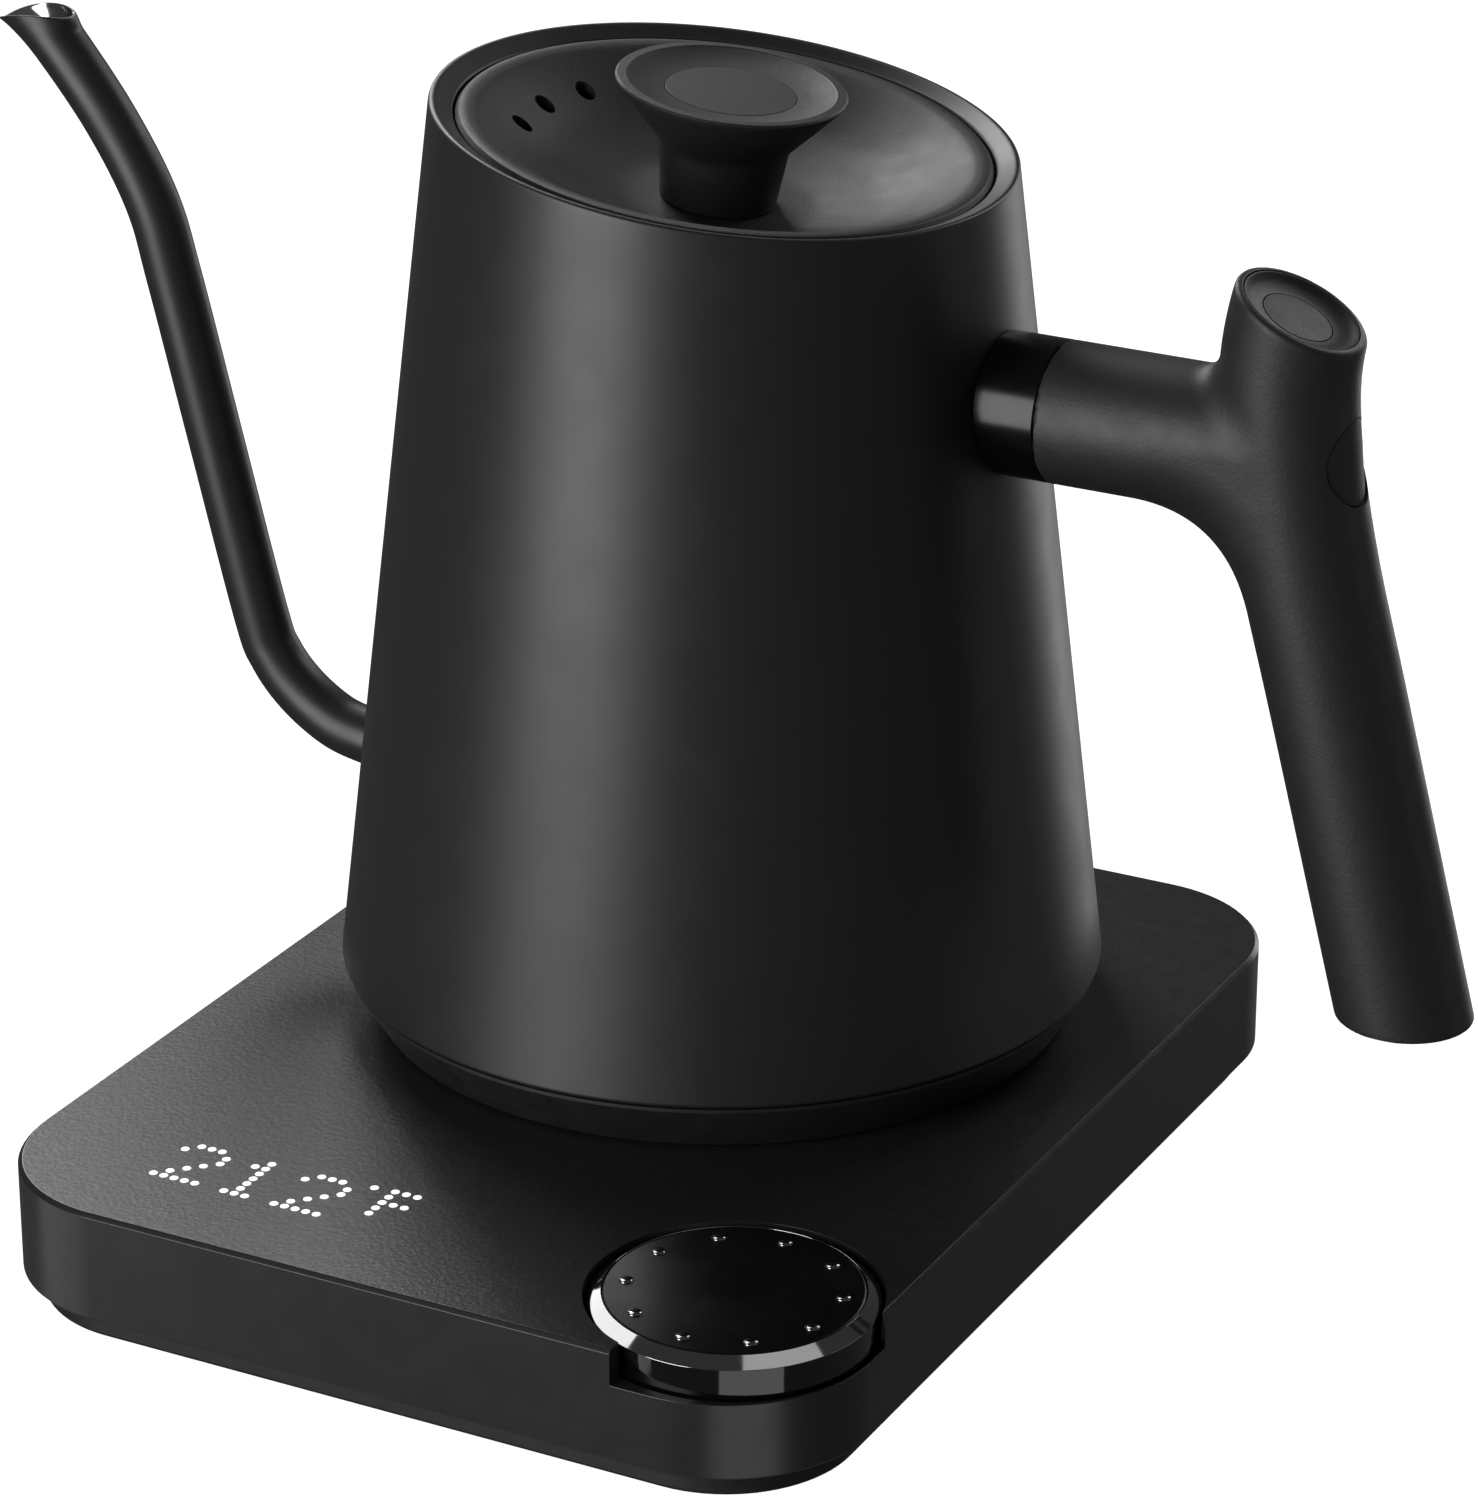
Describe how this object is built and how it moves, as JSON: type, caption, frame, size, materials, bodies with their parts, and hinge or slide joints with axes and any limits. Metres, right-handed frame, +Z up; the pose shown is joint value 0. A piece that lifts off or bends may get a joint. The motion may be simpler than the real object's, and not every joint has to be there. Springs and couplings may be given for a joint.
{
  "type": "gooseneck kettle",
  "caption": "Electric pour-over kettle with a thin gooseneck spout, Y-shaped handle and dished lid, on a flat square heating base with a push-and-turn dial.",
  "frame": {"origin": "kettle's axis at the table plane; the claimed mount is the plinth's underside, 1 mm above it", "axes": "+X along the base's front edge, towards the handle (the spout is at -X); -Y to the front, where the dial and display are; +Z up"},
  "size_m": [0.2652, 0.1915, 0.1824],
  "materials": {
    "body_black": "satin black coating on stainless steel",
    "base_black": "fine-grained matte black plastic",
    "grip_black": "soft-touch matte black plastic",
    "gloss_black": "piano black",
    "dark_chrome": "polished black chrome",
    "steel": "brushed",
    "brass": "turned",
    "rubber": "matte",
    "board": "circuit board laminate"
  },
  "bodies": {
    "base": {"base_cover": "base_black", "base_plinth": "base_black", "base_foot_1": "rubber", "base_foot_2": "rubber", "base_foot_3": "rubber", "base_foot_4": "rubber", "base_screw_1": "steel", "base_screw_2": "steel", "base_screw_3": "steel", "base_screw_4": "steel", "base_coupler": "gloss_black", "coupler_contact": "brass", "display_module": "board", "control_board": "board", "dial_encoder": "steel", "cord_inlet": "rubber"},
    "plunger": {"dial_plunger": "steel"},
    "dial": {"dial_body": "gloss_black", "dial_bezel": "dark_chrome", "dial_face": "gloss_black"},
    "coupler_socket": {"kettle_coupler": "gloss_black"},
    "kettle": {"kettle_body": "body_black", "bottom_cover": "base_black", "heating_plate": "steel", "heating_element": "steel", "thermostat": "base_black", "temperature_probe": "steel", "spout": "body_black", "handle_collar": "gloss_black", "handle_bracket": "steel", "handle_screw": "steel", "handle_plug": "grip_black", "handle_grip": "grip_black", "handle_cap": "grip_black", "handle_cap_disc": "grip_black"},
    "seal": {"lid_seal": "rubber"},
    "lid": {"lid_dish": "grip_black", "lid_liner": "steel", "lid_knob": "grip_black", "knob_disc": "grip_black", "knob_screw": "steel"}
  },
  "joints": [
    {"name": "dial_press", "type": "slide", "parent": "base", "child": "plunger", "axis": [0, 0, -1], "range_m": [0, 0.0008], "stiffness_N_per_m": 3750, "springref_m": -0.0003},
    {"name": "dial_turn", "type": "hinge", "parent": "plunger", "child": "dial", "pos_m": [0.0503, -0.0912, 0.024], "axis": [0, 0, 1], "continuous": true},
    {"name": "kettle_lift", "type": "slide", "parent": "base", "child": "coupler_socket", "axis": [0, 0, 1], "range_m": [0, 0.12]},
    {"name": "kettle_swivel", "type": "hinge", "parent": "coupler_socket", "child": "kettle", "pos_m": [0, 0, 0.024], "axis": [0, 0, 1], "continuous": true},
    {"name": "lid_lift", "type": "slide", "parent": "kettle", "child": "seal", "axis": [0.134, 0, 0.991], "range_m": [0, 0.06]},
    {"name": "lid_turn", "type": "hinge", "parent": "seal", "child": "lid", "pos_m": [0.001, 0, 0.17285], "axis": [0.134, 0, 0.991], "continuous": true}
  ]
}
